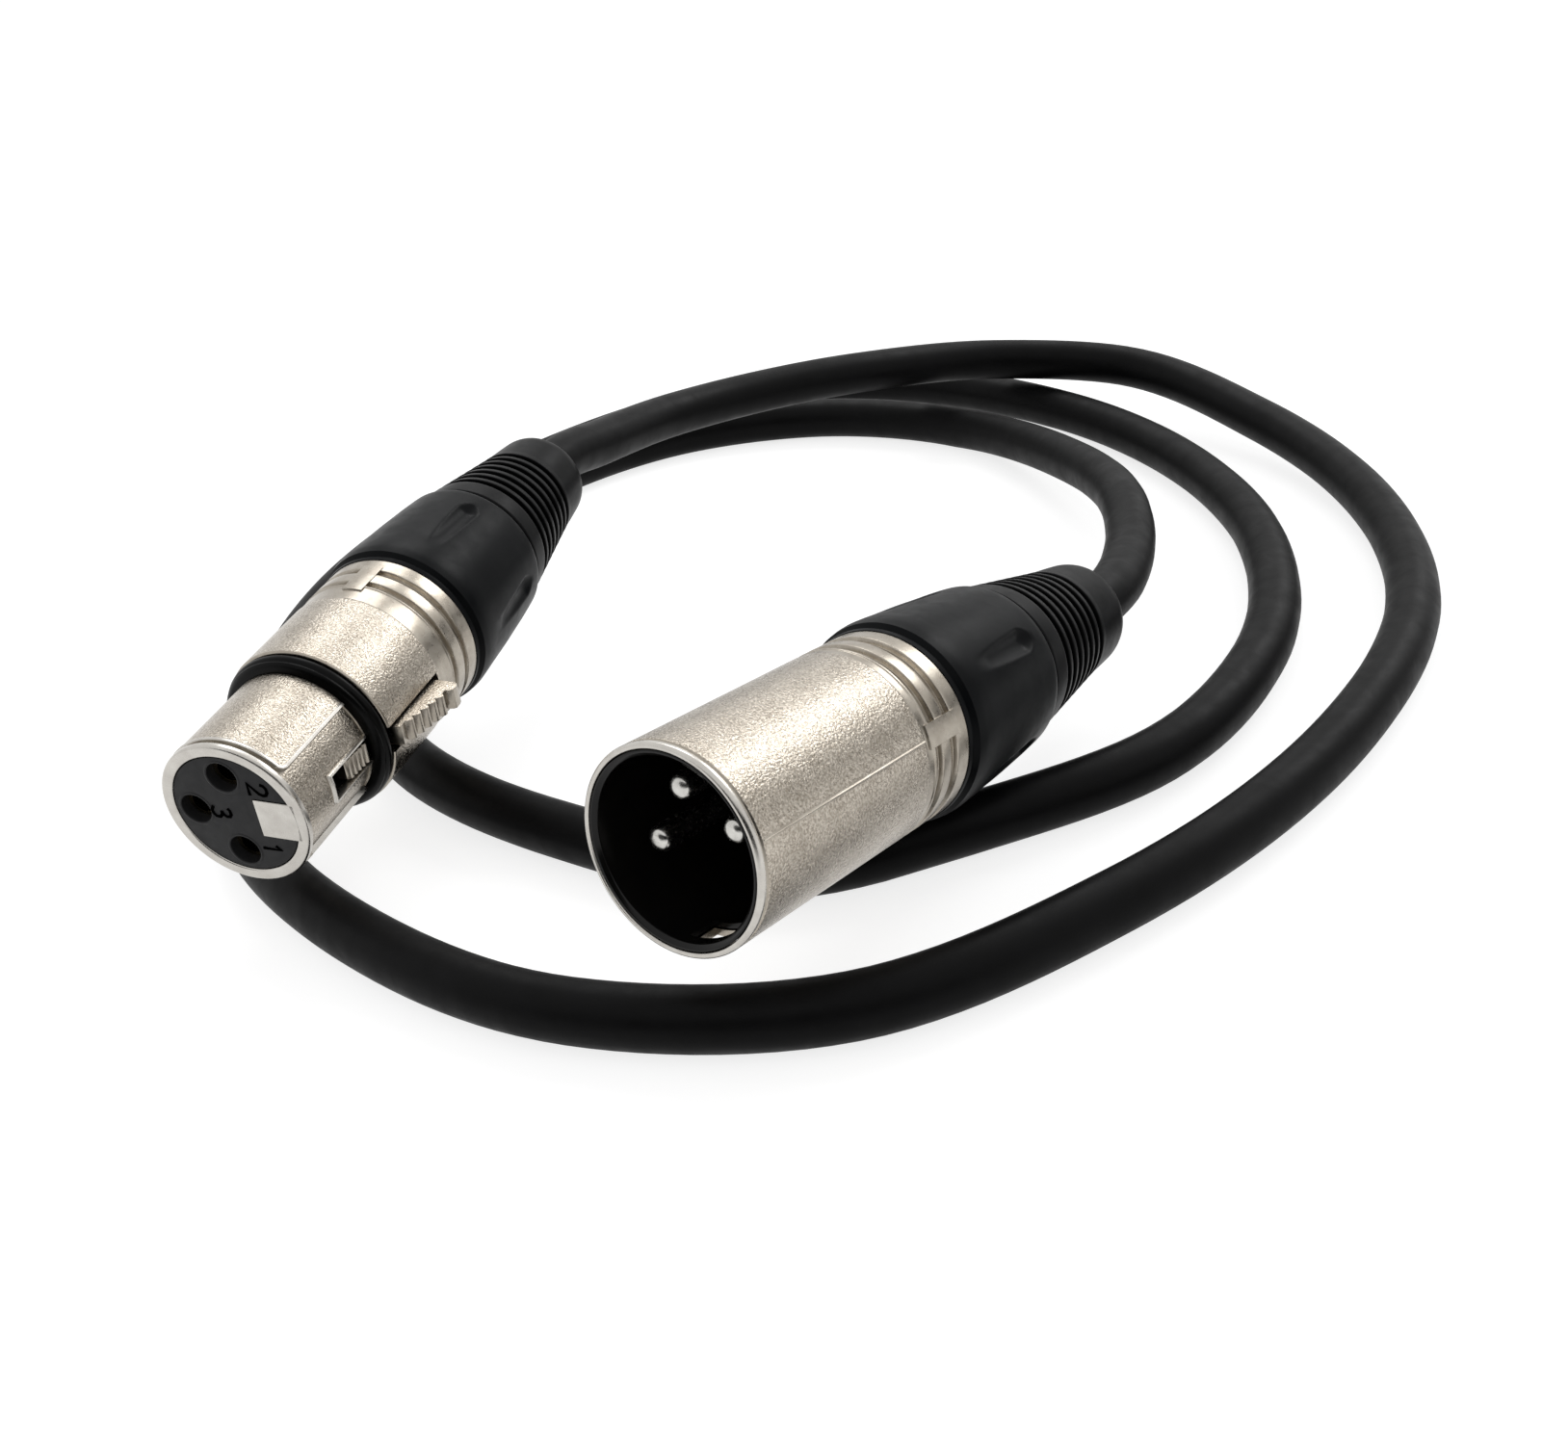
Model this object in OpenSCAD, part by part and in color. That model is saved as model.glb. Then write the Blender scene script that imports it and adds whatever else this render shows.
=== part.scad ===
// Microphone cable, coiled, with a three-pole male and a three-pole female connector.
// Millimetres. The object lies on z = 0 and the origin is under the middle of its box.
// Each connector is built along its own z axis, from the mating face to the cable end,
// with its key side on +x, and is then set down in the coil.

/* [Male connector] */
// outside diameter of the male shell
shell_d = 18.7; // [18.6:0.1:19]
// length of the male shell
male_front = 30.2; // [29.8:0.2:31]
// inside diameter of the male socket
socket_d = 16.2; // [16.1:0.05:16.4]
// depth of the male socket floor
socket_depth = 15.6; // [15:0.2:16.6]
// diameter of a contact pin
pin_d = 2.36; // [2.3:0.01:2.38]
// depth of the pin tips behind the rim
pin_tip = 3; // [2.6:0.1:4]

/* [Female connector] */
// outside diameter of the plug nose
nose_d = 15.9; // [15.7:0.05:16]
// length of the plug nose
nose_len = 12.5; // [12.3:0.1:12.6]
// length of the female shell
female_front = 32.3; // [32.1:0.1:33]
// inside diameter of a contact socket
contact_bore_d = 2.4; // [2.4:0.01:2.46]
// width of the key tab on the mating face
key_w = 4.3; // [3.9:0.1:4.4]
// width of the latch button
button_w = 2.3; // [2.1:0.1:2.5]
// angle the latch turns when it is pressed
latch_angle = 3; // [2:0.25:3]

/* [Both connectors] */
// radius of the circle that carries the contacts
contact_circle = 4.35; // [4.2:0.05:4.4]
// angle from the key to the first two contacts
contact_angle = 92; // [84:1:96]
// largest diameter of the clamp nut
nut_d = 19.9; // [19.8:0.1:20.1]
// number of grip dents round the nut
grips = 5; // [4:1:6]
// number of grooves in the strain relief
relief_grooves = 7; // [5:1:8]
// depth of a strain relief groove
relief_depth = 1.1; // [0.6:0.1:1.3]
// travel of the nut as it unscrews
nut_travel = 5; // [3:0.5:5]

/* [Cable] */
// outside diameter of the cable
cable_d = 6; // [5.6:0.1:6]
// sides of the cable tube
cable_sides = 12; // [8:2:12]

/* [Coil] */
// compass angle of the male connector
male_az = 40.6; // [40.2:0.2:41]
// rise of the male connector
male_el = -8.3; // [-8.4:0.1:-8.2]
// turn of the male key round its axis
male_spin = 71; // [67:1:75]
// compass angle of the female connector
female_az = 23.4; // [23:0.2:23.8]
// rise of the female connector
female_el = 5; // [4.8:0.1:5.2]
// turn of the female key round its axis
female_spin = 4.5; // [1:0.5:8]

/* [Hidden] */
$fn = 64;
eps = 0.01;
slip = 0.02;
fit = 0.05;
run = 0.1;
gap = 0.35;
male_pos = [-18.2, -83.8, 21.25];
female_pos = [-60.5, -56.2, 15.6];

// the nut, chuck and strain relief are the same part on both connectors
rear_len = 37.8;
male_len = male_front + rear_len;
female_len = female_front + rear_len;
stub_len = 2;
nut_len = 17.4;
relief_front = 17.7;
neck_front = 15.5;
chuck_front = -2.2;
chuck_cone = 9;
chuck_rear = 15;
jacket_back = 3.7;

// radii
shell_r = shell_d / 2;
shell_bore_r = shell_r - 0.7;
rim_bore_r = shell_r - 0.9;
groove_r = shell_r - 0.32;
band_r = shell_r - 0.08;
socket_r = socket_d / 2;
insert_r = shell_bore_r - fit;
pin_r = pin_d / 2;
shank_r = pin_r + 0.4;
nose_r = nose_d / 2;
nose_bore_r = nose_r - 1.25;
seat_r = nose_r - 0.3;
plug_insert_r = nose_bore_r - fit;
contact_bore_r = contact_bore_d / 2;
contact_r = 1.63;
cup_r = 0.8;
wire_r = 0.7;
nut_r = nut_d / 2;
stub_r = shell_bore_r - run;
nut_bore_r = 7.4;
nut_mouth_r = 6.5;
neck_r = nut_mouth_r - run;
chuck_r = 6.9;
chuck_tip_r = 5.6;
chuck_room_r = 5.2;
cable_r = cable_d / 2 * 1.015;
grip_r = cable_r + slip;
relief_bore_r = cable_r + gap;

// male shell details, as distances from the rim
male_texture = 23.8;
male_groove_1 = 25.2;
male_groove_2 = 27.5;
male_groove_w = [0.8, 0.9];
pad_l = [24.4, 29];
pad_w = 2.2;
window_l = [1.6, 4.5];
window_w = 5;
liner_lip = 0.4;
liner_front = 1.1;
boss_front = 23.5;
boss_rear = 26;
boss_r = 6.6;
pin_rear = 27;
cup_depth = 2.5;

// female shell details
seat_w = 1.7;
ring_drop = 0.15;
female_texture = 24.6;
female_grooves = [27.7, 30.1];
female_groove_w = 0.7;
key_inner = 2.6;
key_len = 5;
plug_face = 0.1;
hatch_l = 5.4;
hatch_w = 3.3;
flange_l = [15.7, 19];
plug_rear = 26.4;
contact_front = 1.3;
contact_depth = 14;
contact_rear = 27.8;
slot_rear = 24.3;
slot_w = button_w + 2 * gap;

// latch
pivot = [6.6, 0, 28.2];
pivot_r = 0.6;
pivot_len = 8.6;
eye_r = 1.4;
eye_w = 2.2;
lug_l = [26.8, 29.6];
lug_x = 5.4;
lug_y = 4.4;
lug_r = shell_r - 0.4;
bar_x = [6, 7.2];
bar_w = 2.2;
hook_l = [8.6, 12];
hook_top = nose_r - 0.1;
button_l = [14.9, 23.6];
button_x = [10, 12];
button_teeth = 5;
button_block = 2.4;
tooth_h = 0.35;
leaf_l = [13, 24];
leaf_x = [4.25, 4.5, 4.9];
leaf_w = 2.2;
leaf_bend = 4;

// nut outline: distance from its front face, and radius below the largest
nut_outline = [[0, 0.7], [0.15, 0.5], [0.55, 0.5], [1.2, 0.12], [2.6, 0], [5.4, 0.17],
               [8, 0.31], [10, 0.44], [12, 0.6], [14, 0.76], [15.6, 0.94], [16.6, 1.15],
               [17.1, 1.35], [17.4, 1.65]];

// grip dents: radius of the cutter, its tilt, its depth and its reach along the nut
dent_r = 1.8;
dent_tilt = 7.5;
dent_depth = 1.4;
dent_l = [6, 15];
male_nut_turn = 34.5;
female_nut_turn = 4.5;

// strain relief outline
relief_top_r = 8.3;
relief_first = 20.9;
relief_last = 32;
relief_first_r = 7.95;
relief_last_r = 6.25;
relief_end_r = 5;
relief_pitch = (relief_last - relief_first) / relief_grooves;
relief_land = 0.5;
relief_band = 1;

// the coil, from the female strain relief round to the male one; z is the height of the
// middle of the cable, low where it lies on the surface and high where it crosses
floor_z = 3.05;
lead = 4;
knots = [[-26.1, 21.1, 20.5], [-16.6, 36.6, 17.7], [11.4, 54.3, 14], [33.4, 62, 10.3],
         [52.3, 56.4, 8], [65.9, 32.9, 5], [70.7, 3, 3.5], [64.9, -26.4, 3.05],
         [47.7, -52.2, 3.05], [19.7, -74, 3.05], [-5.5, -83.3, 3.05], [-30, -77.9, 3.05],
         [-51.9, -59.9, 3.05], [-67.7, -33.9, 3.05], [-70.5, -3, 3.05], [-64.9, 31.3, 3.05],
         [-49.5, 58.9, 3.05], [-24.8, 79.7, 3.05], [-2, 87.6, 3.05], [17.9, 80.6, 3.05],
         [41.5, 55.6, 3.05], [53, 26.5, 3.05], [54.6, -4.5, 3.05], [45.5, -32.5, 3.05],
         [29.8, -50.2, 3.05], [10.6, -57.3, 3.05], [-9.5, -60.6, 3.05], [-32.3, -46.8, 3.05],
         [-51.4, -24, 3.05], [-57.9, 3, 3.05], [-52.8, 33.3, 3.05], [-37.4, 59.4, 3.05],
         [-17.5, 70.1, 3.05], [5.6, 68.4, 3.05], [25.7, 54.1, 3.05], [36.7, 28.9, 5.5],
         [38.9, 1.5, 8.4], [35.8, -13.4, 8.8]];
long_step = 12;

// ---- directions, curves and swept tubes ----

function unit(v) = v / norm(v);
function heading(az, el) = [cos(el) * sin(az), cos(el) * cos(az), sin(el)];
function mix(a, b, t) = a * (1 - t) + b * t;

// direction of the curve at point i: the two chords, the shorter one counting more
function slope(p, i) =
    i == 0 ? unit(p[1] - p[0]) :
    i == len(p) - 1 ? unit(p[i] - p[i - 1]) :
    let (a = norm(p[i] - p[i - 1]), b = norm(p[i + 1] - p[i]))
    (unit(p[i] - p[i - 1]) * b + unit(p[i + 1] - p[i]) * a) / (a + b);

// a point on the smooth curve between points i and i + 1
function between(p, i, t) =
    let (d = norm(p[i + 1] - p[i]), a = slope(p, i) * d, b = slope(p, i + 1) * d)
    p[i] * (2 * pow(t, 3) - 3 * pow(t, 2) + 1) + a * (pow(t, 3) - 2 * pow(t, 2) + t)
    + p[i + 1] * (3 * pow(t, 2) - 2 * pow(t, 3)) + b * (pow(t, 3) - pow(t, 2));

function lifted(p) = [p[0], p[1], max(p[2], floor_z)];
function parts(p, i, n) = norm(p[i + 1] - p[i]) > long_step && i > 0 && i < len(p) - 2 ? n : 1;
function smooth(p, n) = concat(
    [for (i = [0 : len(p) - 2]) for (k = [0 : parts(p, i, n) - 1])
        lifted(between(p, i, k / parts(p, i, n)))],
    [p[len(p) - 1]]);

function tangent(p, i) = unit(p[min(i + 1, len(p) - 1)] - p[max(i - 1, 0)]);
function ring(p, i, r, sides, up) =
    let (t = tangent(p, i), side = unit(cross(t, up)), top = cross(side, t))
    [for (k = [0 : sides - 1])
        p[i] + r * (cos(360 * k / sides - 90) * side + sin(360 * k / sides - 90) * top)];

// a solid tube of radius r through the points p
module tube(p, r, sides, up) {
    n = len(p);
    points = [for (i = [0 : n - 1]) each ring(p, i, r, sides, up)];
    walls = [for (i = [0 : n - 2]) for (k = [0 : sides - 1])
        [i * sides + k, i * sides + (k + 1) % sides,
         (i + 1) * sides + (k + 1) % sides, (i + 1) * sides + k]];
    ends = [[for (k = [sides - 1 : -1 : 0]) k], [for (k = [0 : sides - 1]) (n - 1) * sides + k]];
    polyhedron(points = points, faces = concat(walls, ends), convexity = 10);
}

female_axis = heading(female_az, female_el);
male_axis = heading(male_az, male_el);
route = concat(
    [female_pos + (female_front + jacket_back) * female_axis,
     female_pos + female_len * female_axis,
     female_pos + (female_len + lead) * female_axis],
    knots,
    [male_pos + (male_len + lead) * male_axis,
     male_pos + male_len * male_axis,
     male_pos + (male_front + jacket_back) * male_axis]);
cable_path = smooth(route, 2);

// length of the cable and least room between two passes of it
fine = smooth(route, 5);
steps = [for (i = [0 : len(fine) - 2]) norm(fine[i + 1] - fine[i])];
function total(v, i) = i < 0 ? 0 : v[i] + total(v, i - 1);
cable_length = total(steps, len(steps) - 1);
apart = 6;
least = min([for (i = [0 : len(fine) - 1]) for (j = [i + apart : 1 : len(fine) - 1])
    norm(fine[i] - fine[j])]);
echo(cable_length = cable_length, least_gap = least - 2 * cable_r, rings = len(cable_path));

// ---- placing ----

module set_down(pos, az, el, spin) {
    translate(pos)
    rotate([0, 0, -az])
    rotate([-(90 - el), 0, 0])
    rotate([0, 0, spin])
    children();
}
module at_male() { set_down(male_pos, male_az, male_el, male_spin) children(); }
module at_female() { set_down(female_pos, female_az, female_el, female_spin) children(); }

// a box given by its lowest and highest corners
module block(low, high) { translate(low) cube(high - low); }
module on_circle(angle) { rotate([0, 0, angle]) translate([contact_circle, 0, 0]) children(); }
module hole(r, from, to) { translate([0, 0, from]) cylinder(r = r, h = to - from); }

// ---- parts that both connectors share ----

module wire(angle, from, to) {
    start = 1.3;
    straight = 0.6;
    depth = 2;
    e = [cos(angle), sin(angle), 0];
    along = [for (t = [0 : 0.2 : 1]) let (s = t * t * (3 - 2 * t))
        e * mix(start, contact_circle, s) + [0, 0, mix(from - straight, to + straight, t)]];
    tube(concat([e * start + [0, 0, from]], along, [e * contact_circle + [0, 0, to - depth]]),
         wire_r, 8, [-sin(angle), cos(angle), 0]);
}

module chuck(front) {
    slit_w = 1.2;
    slit_front = 6.5;
    room = jacket_back - 0.4;
    difference() {
        rotate_extrude()
        polygon([[chuck_room_r, front + chuck_front], [chuck_r, front + chuck_front],
                 [chuck_r, front + chuck_cone], [chuck_tip_r, front + chuck_rear],
                 [grip_r, front + chuck_rear], [grip_r, front + room],
                 [chuck_room_r, front + room]]);
        for (a = [0, 90])
            rotate([0, 0, a])
            block([-chuck_r - 1, -slit_w / 2, front + slit_front],
                  [chuck_r + 1, slit_w / 2, front + chuck_rear + 1]);
    }
}

// turn is where the first grip dent stands, counted from the key
module nut(front, turn) {
    face = 0.15;
    difference() {
        rotate_extrude()
        polygon(concat(
            [[nut_bore_r, front - stub_len], [stub_r, front - stub_len], [stub_r, front + face]],
            [for (q = nut_outline) [nut_r - q[1], front + max(q[0], face)]],
            [[nut_mouth_r, front + nut_len], [nut_mouth_r, front + neck_front + 0.7],
             [nut_bore_r, front + neck_front - 2]]));
        for (k = [0 : grips - 1])
            rotate([0, 0, turn + 360 * k / grips])
            translate([nut_r + dent_r - dent_depth, 0, front + dent_l[1]])
            rotate([0, 180 - dent_tilt, 0])
            cylinder(r = dent_r, h = dent_l[1] - dent_l[0]);
    }
}

module relief(front) {
    fall = (relief_first_r - relief_last_r) / (relief_last - relief_first);
    rotate_extrude()
    polygon(concat(
        [[relief_bore_r, front + neck_front], [neck_r, front + neck_front],
         [neck_r, front + relief_front], [relief_top_r - 0.15, front + relief_front],
         [relief_top_r, front + relief_front + 0.3],
         [relief_top_r - 0.1, front + relief_front + relief_band]],
        [for (k = [0 : relief_grooves - 1])
            let (l = relief_first + k * relief_pitch, r = relief_first_r - fall * k * relief_pitch,
                 w = relief_pitch - relief_land)
            each [[r, front + l], [r - relief_depth, front + l + 0.15],
                  [r - relief_depth, front + l + w - 0.15], [r - 0.1, front + l + w]]],
        [[relief_last_r, front + relief_last], [relief_last_r - 0.4, front + rear_len - 1.2],
         [relief_last_r - 0.65, front + rear_len - 0.45], [relief_end_r, front + rear_len],
         [relief_bore_r, front + rear_len]]));
}

// raised pads that cross the grooves of a shell on both sides of the key
module side_pads(low, high) {
    intersection() {
        difference() {
            hole(shell_r, low, high);
            hole(shell_bore_r + 0.3, low - 1, high + 1);
        }
        block([-pad_w / 2, -shell_r - 1, low], [pad_w / 2, shell_r + 1, high]);
    }
}

// ---- male connector ----

module male_shell() {
    g1 = male_groove_1;
    g2 = male_groove_2;
    color("silver")
    at_male()
    difference() {
        union() {
            rotate_extrude()
            polygon([[shell_bore_r, 1], [rim_bore_r, 0.8], [rim_bore_r, 0.3],
                     [rim_bore_r + 0.25, 0], [shell_r - 0.2, 0], [shell_r, 0.25],
                     [shell_r, male_texture], [band_r, male_texture + 0.2], [band_r, g1],
                     [groove_r, g1 + 0.1], [groove_r, g1 + male_groove_w[0]],
                     [shell_r, g1 + male_groove_w[0] + 0.1], [shell_r, g2],
                     [groove_r, g2 + 0.1], [groove_r, g2 + male_groove_w[1]],
                     [shell_r, g2 + male_groove_w[1] + 0.1], [shell_r, male_front - 0.15],
                     [shell_r - 0.15, male_front], [shell_bore_r, male_front]]);
            side_pads(pad_l[0], pad_l[1]);
        }
        block([socket_r - 1, -window_w / 2, window_l[0]], [shell_r + 1, window_w / 2, window_l[1]]);
    }
}

module male_insert() {
    color("dimgray")
    at_male()
    difference() {
        rotate_extrude()
        polygon([[0, socket_depth], [socket_r, socket_depth], [socket_r, liner_lip],
                 [rim_bore_r - fit, liner_lip], [rim_bore_r - fit, liner_front],
                 [insert_r, liner_front], [insert_r, boss_front], [boss_r, boss_front],
                 [boss_r, boss_rear], [0, boss_rear]]);
        for (a = [-contact_angle, contact_angle, 180])
            on_circle(a)
            hole(shank_r + slip, 0, pin_rear + 1);
        block([socket_r - 1, -window_w / 2, window_l[0]], [shell_r + 1, window_w / 2, window_l[1]]);
    }
}

module pin(angle) {
    color("gainsboro")
    at_male()
    on_circle(angle)
    rotate_extrude()
    polygon([[0, pin_tip], [pin_r * 0.55, pin_tip + 0.08], [pin_r * 0.85, pin_tip + 0.35],
             [pin_r, pin_tip + 0.9], [pin_r, socket_depth - slip], [shank_r, socket_depth + slip],
             [shank_r, pin_rear], [cup_r, pin_rear],
             [cup_r, pin_rear - cup_depth], [0, pin_rear - cup_depth]]);
}
module male_pin_1() { pin(-contact_angle); }
module male_pin_2() { pin(contact_angle); }
module male_pin_3() { pin(180); }

module male_wire(angle) {
    color("firebrick")
    at_male()
    wire(angle, male_front + jacket_back, pin_rear);
}
module male_wire_1() { male_wire(-contact_angle); }
module male_wire_2() { male_wire(contact_angle); }
module male_wire_3() { male_wire(180); }

module male_chuck() {
    color("whitesmoke")
    at_male()
    chuck(male_front);
}

module male_nut() {
    color("#26272a")
    at_male()
    nut(male_front, male_nut_turn);
}

module male_relief() {
    color("#1d1d1e")
    at_male()
    relief(male_front);
}

// ---- female connector ----

module female_shell() {
    g = female_grooves;
    w = female_groove_w / 2;
    seat = nose_len + seat_w;
    color("silver")
    at_female()
    difference() {
        union() {
            rotate_extrude()
            polygon([[nose_bore_r, 0.25], [nose_bore_r + 0.25, 0], [nose_r - 0.2, 0], [nose_r, 0.2],
                     [nose_r, nose_len - 0.05], [seat_r, nose_len], [seat_r, seat],
                     [shell_r - 0.4, seat], [shell_r, seat + 0.3], [shell_r, female_texture],
                     [band_r, female_texture + 0.2], [band_r, g[0] - w],
                     [groove_r, g[0] - w + 0.1], [groove_r, g[0] + w], [shell_r, g[0] + w + 0.1],
                     [shell_r, g[1] - w], [groove_r, g[1] - w + 0.1], [groove_r, g[1] + w],
                     [shell_r, g[1] + w + 0.1], [shell_r, female_front - 0.15],
                     [shell_r - 0.15, female_front], [shell_bore_r, female_front],
                     [shell_bore_r, flange_l[0] - 0.1], [nose_bore_r, flange_l[0] - 0.1]]);
            block([key_inner, -key_w / 2, 0], [nose_bore_r + 0.3, key_w / 2, key_len]);
            intersection() {
                hole(lug_r, lug_l[0], lug_l[1]);
                block([lug_x, -lug_y, lug_l[0]], [shell_r, lug_y, lug_l[1]]);
            }
            side_pads(g[0] - 1.3, g[1] + 1);
        }
        block([key_inner + 2, -hatch_w / 2, hatch_l], [nose_r + 1, hatch_w / 2, nose_len]);
        block([key_inner + 2, -hatch_w / 2, hatch_l], [seat_r + eps, hatch_w / 2, flange_l[0]]);
        block([lug_x - 1, -slot_w / 2, seat - fit], [shell_r + 2, slot_w / 2, slot_rear]);
        block([lug_x - 1, -slot_w / 2, seat], [shell_bore_r, slot_w / 2, lug_l[1] + 1]);
        translate([pivot[0], pivot_len, pivot[2]])
        rotate([90, 0, 0])
        cylinder(r = pivot_r + slip, h = 2 * pivot_len);
    }
}

module shoulder_ring() {
    l = nose_len;
    top = shell_r - ring_drop;
    color("black")
    at_female()
    rotate_extrude()
    polygon([[seat_r + slip, l + 0.02], [nose_r + 0.05, l + 0.02], [top - 0.55, l + 0.2],
             [top - 0.15, l + 0.6], [top, l + 0.6 * seat_w], [top - 0.07, l + 0.85 * seat_w],
             [top - 0.25, l + seat_w - fit],
             [seat_r + slip, l + seat_w - fit]]);
}

module female_insert() {
    channel_x = 4.2;
    channel_w = 3.6;
    color("dimgray")
    at_female()
    difference() {
        rotate_extrude()
        polygon([[0, plug_face], [plug_insert_r - 0.1, plug_face],
                 [plug_insert_r, plug_face + 0.1], [plug_insert_r, flange_l[0]],
                 [insert_r, flange_l[0]], [insert_r, flange_l[1]], [boss_r, flange_l[1]],
                 [boss_r, plug_rear], [0, plug_rear]]);
        for (a = [-contact_angle, contact_angle, 180])
            on_circle(a)
            hole(contact_r + slip, -1, plug_rear + 1);
        block([key_inner - fit, -key_w / 2 - fit, -1], [nose_r, key_w / 2 + fit, key_len + fit]);
        block([channel_x, -channel_w / 2, key_len], [shell_r, channel_w / 2, plug_rear + 1]);
    }
}

module contact(angle) {
    color("goldenrod")
    at_female()
    on_circle(angle)
    rotate_extrude()
    polygon([[contact_bore_r, contact_front], [contact_r, contact_front],
             [contact_r, contact_rear], [cup_r, contact_rear],
             [cup_r, contact_rear - cup_depth], [0, contact_rear - cup_depth],
             [0, contact_depth], [contact_bore_r, contact_depth]]);
}
module female_contact_1() { contact(contact_angle); }
module female_contact_2() { contact(-contact_angle); }
module female_contact_3() { contact(180); }

module female_wire(angle) {
    color("firebrick")
    at_female()
    wire(angle, female_front + jacket_back, contact_rear);
}
module female_wire_1() { female_wire(contact_angle); }
module female_wire_2() { female_wire(-contact_angle); }
module female_wire_3() { female_wire(180); }

module latch_lever() {
    b = button_l;
    span = b[1] - b[0] - button_block;
    pitch = span / button_teeth;
    rise = (button_x[1] - button_x[0]) / button_teeth;
    teeth = [for (k = [0 : button_teeth - 1])
        each [[button_x[0] + (k + 0.5) * rise - tooth_h, b[0] + k * pitch + 0.1],
              [button_x[0] + (k + 0.5) * rise, b[0] + k * pitch + 0.35],
              [button_x[0] + (k + 1) * rise, b[0] + (k + 1) * pitch - 0.35],
              [button_x[0] + (k + 1) * rise - tooth_h, b[0] + (k + 1) * pitch]]];
    color("gray")
    at_female()
    difference() {
        union() {
            // polygons are drawn as x and distance along the axis, then turned to stand
            for (p = [[button_w, concat([[bar_x[0], b[0]]], teeth,
                         [[button_x[1], b[0] + span + 0.2], [button_x[1], b[1]], [bar_x[0], b[1]]])],
                      [bar_w, [[bar_x[0], hook_l[0]], [hook_top - 0.5, hook_l[0]],
                         [hook_top, hook_l[0] + 1], [hook_top, hook_l[1]],
                         [bar_x[1], hook_l[1]], [bar_x[1], pivot[2]], [bar_x[0], pivot[2]]]]])
                translate([0, p[0] / 2, 0])
                rotate([90, 0, 0])
                linear_extrude(p[0])
                polygon(p[1]);
            translate([pivot[0], eye_w / 2, pivot[2]])
            rotate([90, 0, 0])
            cylinder(r = eye_r, h = eye_w);
        }
        translate([pivot[0], eye_w, pivot[2]])
        rotate([90, 0, 0])
        cylinder(r = pivot_r + fit, h = 2 * eye_w);
    }
}

module latch_pin() {
    color("darkgray")
    at_female()
    translate([pivot[0], pivot_len / 2, pivot[2]])
    rotate([90, 0, 0])
    cylinder(r = pivot_r, h = pivot_len);
}

module latch_spring() {
    x = leaf_x;
    l = leaf_l;
    bend = l[0] + leaf_bend;
    color("lightsteelblue")
    at_female()
    translate([0, leaf_w / 2, 0])
    rotate([90, 0, 0])
    linear_extrude(leaf_w)
    polygon([[x[0], l[1]], [x[0], bend], [x[2] - x[1] + x[0], l[0]], [x[2], l[0]],
             [x[1], bend + 0.1], [x[1], l[1]]]);
}

module female_chuck() {
    color("whitesmoke")
    at_female()
    chuck(female_front);
}

module female_nut() {
    color("#26272a")
    at_female()
    nut(female_front, female_nut_turn);
}

module female_relief() {
    color("#1d1d1e")
    at_female()
    relief(female_front);
}

// ---- cable ----

module cable() {
    color("#202021")
    tube(cable_path, cable_r, cable_sides, [0, 0, 1]);
}

cable();
male_shell();
male_insert();
male_pin_1();
male_pin_2();
male_pin_3();
male_wire_1();
male_wire_2();
male_wire_3();
male_chuck();
male_nut();
male_relief();
female_shell();
shoulder_ring();
female_insert();
female_contact_1();
female_contact_2();
female_contact_3();
female_wire_1();
female_wire_2();
female_wire_3();
latch_lever();
latch_spring();
latch_pin();
female_chuck();
female_nut();
female_relief();
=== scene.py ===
"""The looks of a coiled microphone cable with a three-pole male and a three-pole female plug.

Connector pieces are drawn in millimetres in the connector's own frame, z from the mating face to
the cable end and the key on +x, and are then set down in the row frame in metres.
"""

import math

import bmesh
import bpy
from mathutils import Matrix, Vector


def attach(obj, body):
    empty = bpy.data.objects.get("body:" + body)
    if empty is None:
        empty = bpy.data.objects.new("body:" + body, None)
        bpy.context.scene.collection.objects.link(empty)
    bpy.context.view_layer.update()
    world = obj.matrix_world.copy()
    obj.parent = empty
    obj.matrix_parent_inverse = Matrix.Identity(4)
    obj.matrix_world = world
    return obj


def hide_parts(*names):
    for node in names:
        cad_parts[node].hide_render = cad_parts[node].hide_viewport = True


MM = 0.001
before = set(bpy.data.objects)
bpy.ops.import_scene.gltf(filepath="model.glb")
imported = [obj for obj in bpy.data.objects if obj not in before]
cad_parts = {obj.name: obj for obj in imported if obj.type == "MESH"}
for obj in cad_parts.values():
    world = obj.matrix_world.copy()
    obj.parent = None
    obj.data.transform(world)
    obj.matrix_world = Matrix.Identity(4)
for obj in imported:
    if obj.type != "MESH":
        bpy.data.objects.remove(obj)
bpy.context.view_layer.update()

# ---- the two connectors ----


def placing(pos, azimuth, elevation, spin):
    """The frame of a connector: where the middle of its mating face is, the compass angle and
    the rise of its axis, and how far the key is turned round it."""
    return (
        Matrix.Translation(Vector(pos) * MM)
        @ Matrix.Rotation(math.radians(-azimuth), 4, "Z")
        @ Matrix.Rotation(math.radians(elevation - 90), 4, "X")
        @ Matrix.Rotation(math.radians(spin), 4, "Z")
    )


MALE = placing((-18.2, -83.8, 21.25), 40.6, -8.3, 71)
FEMALE = placing((-60.5, -56.2, 15.6), 23.4, 5, 4.5)
# the shells' lengths, up to the front of the nuts, and that of a nut with its strain relief
MALE_FRONT = 30.2
FEMALE_FRONT = 32.3
REAR_LEN = 37.8
SHELL_R = 9.35
BAND_R = SHELL_R - 0.08
GROOVE_R = SHELL_R - 0.48
CONTACT_CIRCLE = 4.35
CONTACT_ANGLES = (-92, 92, 180)
SLACK = 0.01  # for telling which part of a section a point belongs to

# ---- materials ----


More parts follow.
